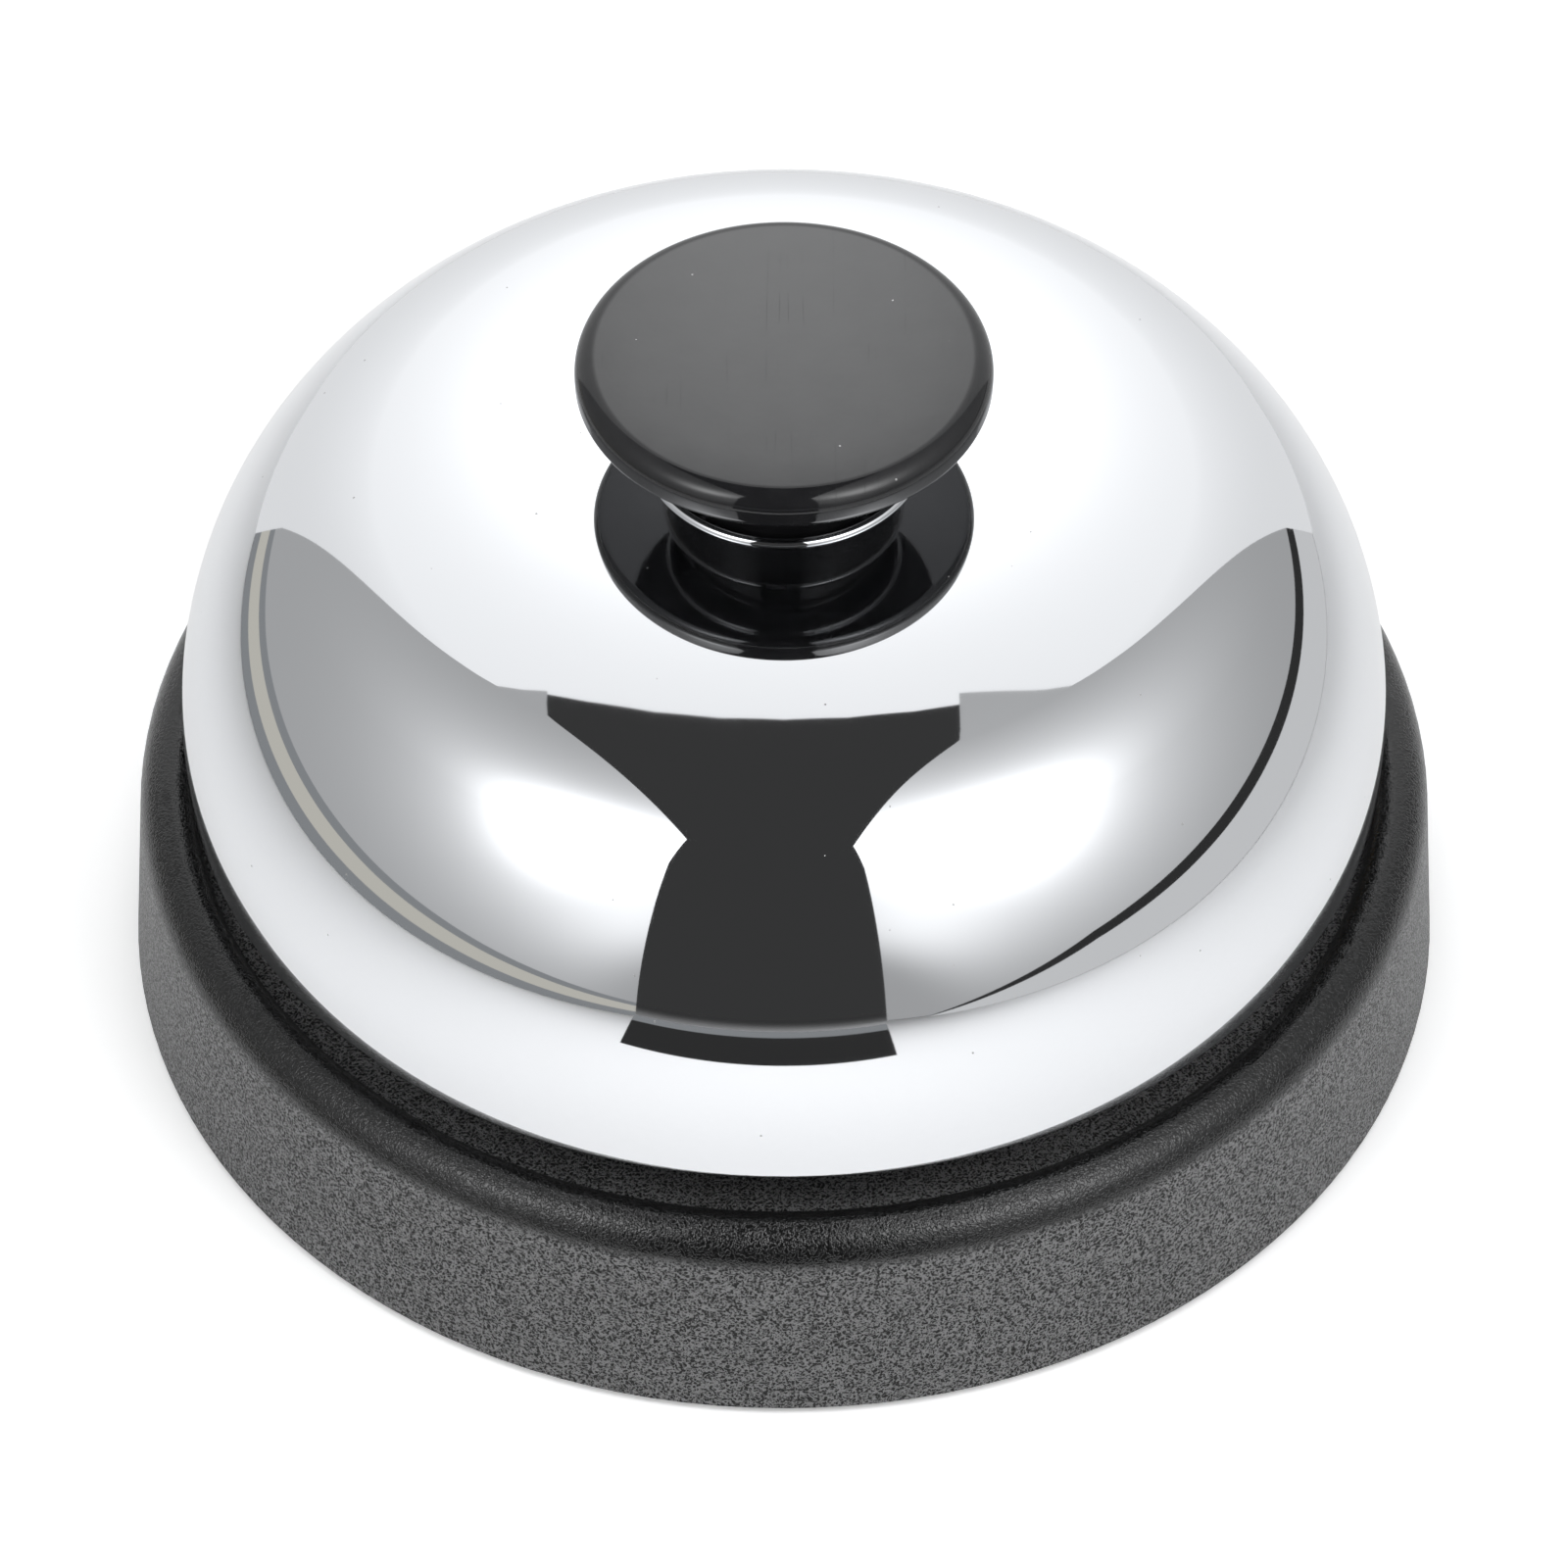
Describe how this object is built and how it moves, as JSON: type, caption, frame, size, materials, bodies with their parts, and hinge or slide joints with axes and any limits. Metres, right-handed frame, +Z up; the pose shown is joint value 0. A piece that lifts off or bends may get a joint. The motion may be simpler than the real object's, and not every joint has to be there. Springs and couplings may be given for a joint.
{
  "type": "service bell",
  "caption": "Round desk call bell: a chromed gong over a black moulded base, rung by pressing a sprung button that swings a hammer inside.",
  "frame": {"origin": "centre of the circle that the base stands on, on the table plane", "axes": "+Z up along the bell's own axis, +X towards the side of the gong that the hammer strikes, +Y to the back"},
  "size_m": [0.085, 0.085, 0.0493],
  "materials": {
    "grained_plastic": "fine moulded grain, satin",
    "gloss_black_plastic": "polished, fine surface scratches",
    "gong_chrome": "mirror plated, faint polishing lines",
    "zinc_plate": "zinc plated sheet steel",
    "screw_steel": "plain plated steel",
    "spring_steel": "drawn spring wire and strip",
    "brass": "turned",
    "black_rubber": "matt moulded",
    "white_nylon": "natural nylon, satin"
  },
  "bodies": {
    "base": {"base_shell": "grained_plastic", "bottom_plate": "zinc_plate", "base_screws": "screw_steel", "rubber_feet": "black_rubber", "mechanism_frame": "zinc_plate", "frame_screws": "screw_steel", "gong_seat_washer": "black_rubber", "gong": "gong_chrome", "guide_cup": "gong_chrome", "cup_retaining_ring": "screw_steel", "guide_bush": "brass", "return_spring": "spring_steel", "pivot_pin": "screw_steel", "pivot_clips": "spring_steel", "lever_spacers": "white_nylon"},
    "button": {"button_cap": "gloss_black_plastic", "plunger_rod": "screw_steel", "plunger_clip": "spring_steel", "buffer_washer": "black_rubber", "plunger_tip": "white_nylon"},
    "hammer": {"hammer_lever": "zinc_plate", "lever_bush": "brass", "striker": "brass", "striker_rivet": "screw_steel"}
  },
  "joints": [
    {"name": "button_press", "type": "slide", "parent": "base", "child": "button", "axis": [0, 0, -1], "range_m": [0, 0.0035], "stiffness_N_per_m": 300, "springref_m": -0.004, "deforming": ["return_spring"]},
    {"name": "hammer_swing", "type": "hinge", "parent": "base", "child": "hammer", "pos_m": [0.012, 0, 0.034], "axis": [0, -1, 0], "range_deg": [0, 15.4]}
  ],
  "couplings": [
    {"joint": "hammer_swing", "follows": "button_press", "rad_per_m": 76}
  ]
}
